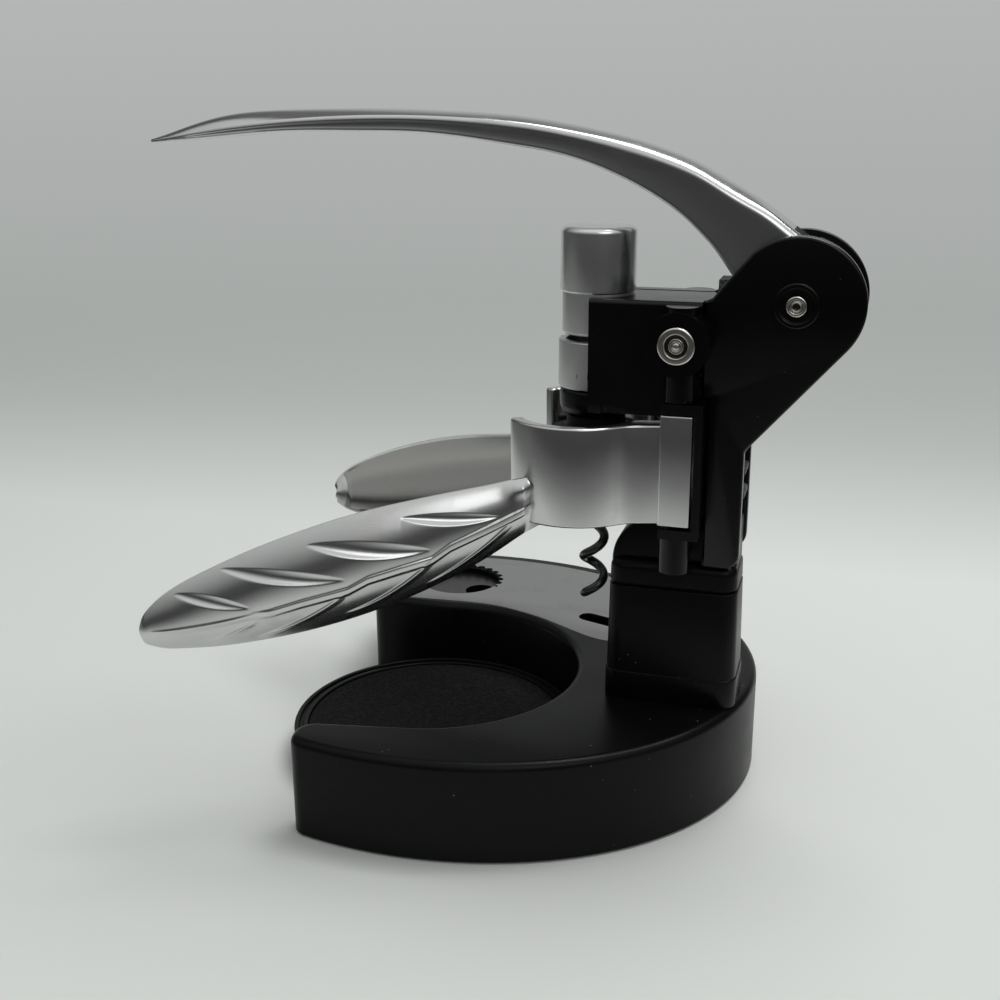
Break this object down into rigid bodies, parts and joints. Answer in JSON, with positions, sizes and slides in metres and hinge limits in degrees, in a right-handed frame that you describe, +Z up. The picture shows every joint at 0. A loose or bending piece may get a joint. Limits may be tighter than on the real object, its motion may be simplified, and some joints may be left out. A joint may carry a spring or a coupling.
{
  "type": "tabletop lever corkscrew with stand",
  "caption": "Lever corkscrew resting on its stand: rack-driven worm, curved lever, leaf-shaped clamp handles, and a black base with a round coaster recess.",
  "frame": {"origin": "on the flat underside of the stand's pad, in the corkscrew's mid-plane, 22 mm behind the worm's axis", "axes": "+Z up; -X towards the lever's tip and the grips' tips, +X towards the hub and the post's back; the mid-plane of post, plates, worm and lever is y = 0"},
  "size_m": [0.1904, 0.1547, 0.1816],
  "materials": {
    "black_shell": "semi-matt black moulding with a fine grain",
    "foam": "matt black foam",
    "dark_iron": "rough cast plate, hidden",
    "screw_steel": "zinc plated",
    "satin_inlay": "satin silver-grey",
    "black_frame": "black satin coating on a casting",
    "pin_steel": "ground steel",
    "rivet_nickel": "bright warm nickel plate",
    "guide_plastic": "natural bearing plastic",
    "satin_ring": "satin chrome",
    "dark_steel": "blackened steel",
    "black_bush": "smooth black",
    "soft_stop": "soft black",
    "satin_casting": "satin plated die casting",
    "gear_steel": "cut steel, dull and speckled",
    "polished_cap": "polished plating",
    "black_worm": "black low-friction coating on hardened steel wire"
  },
  "bodies": {
    "stand": {"base_shell": "black_shell", "bottom_cover": "black_shell", "non_slip_pad": "foam", "base_weight": "dark_iron", "cover_screws": "screw_steel", "coaster_disc": "black_shell", "coaster_mat": "foam", "inlay_plate": "satin_inlay", "post_body": "black_shell", "post_collar": "black_shell", "post_cap": "black_shell", "post_screws": "screw_steel"},
    "frame": {"near_side_plate": "black_frame", "far_side_plate": "black_frame", "front_block": "black_frame", "near_clamp_bracket": "black_frame", "far_clamp_bracket": "black_frame", "clamp_pins": "pin_steel", "hub_axle": "rivet_nickel", "hub_washers": "pin_steel", "side_rivets": "rivet_nickel", "block_dowels": "pin_steel", "rack_guide": "guide_plastic", "guide_ring": "satin_ring", "set_screw": "dark_steel", "neck_bulb": "black_bush", "neck_stop": "soft_stop"},
    "lever": {"lever": "satin_casting", "pinion": "gear_steel", "pinion_dowels": "pin_steel"},
    "carriage": {"rack": "gear_steel", "carrier_arm": "black_frame", "carrier_screws": "screw_steel", "sleeve": "satin_ring", "swivel_bush": "guide_plastic", "thrust_washers": "pin_steel", "cap": "polished_cap"},
    "worm": {"worm": "black_worm"},
    "near_handle": {"near_clamp_handle": "satin_casting", "near_jaw_liner": "soft_stop"},
    "far_handle": {"far_clamp_handle": "satin_casting", "far_jaw_liner": "soft_stop"}
  },
  "joints": [
    {"name": "lift_off", "type": "slide", "parent": "stand", "child": "frame", "axis": [0, 0, 1], "range_m": [0, 0.06]},
    {"name": "lever_pivot", "type": "hinge", "parent": "frame", "child": "lever", "pos_m": [0.0726, 0, 0.1363], "axis": [0, 1, 0], "range_deg": [0, 210]},
    {"name": "carriage_slide", "type": "slide", "parent": "frame", "child": "carriage", "axis": [0, 0, 1], "range_m": [0, 0.0441]},
    {"name": "worm_spin", "type": "hinge", "parent": "carriage", "child": "worm", "pos_m": [0.022, 0, 0.09], "axis": [0, 0, 1], "range_deg": [0, 1416]},
    {"name": "near_clamp", "type": "hinge", "parent": "frame", "child": "near_handle", "pos_m": [0.046, -0.0145, 0.095], "axis": [0, 0, -1], "range_deg": [0, 17]},
    {"name": "far_clamp", "type": "hinge", "parent": "frame", "child": "far_handle", "pos_m": [0.046, 0.0145, 0.095], "axis": [0, 0, 1], "range_deg": [0, 17]}
  ],
  "couplings": [
    {"joint": "carriage_slide", "follows": "lever_pivot", "m_per_rad": 0.012},
    {"joint": "worm_spin", "follows": "lever_pivot", "ratio": 6.732}
  ]
}
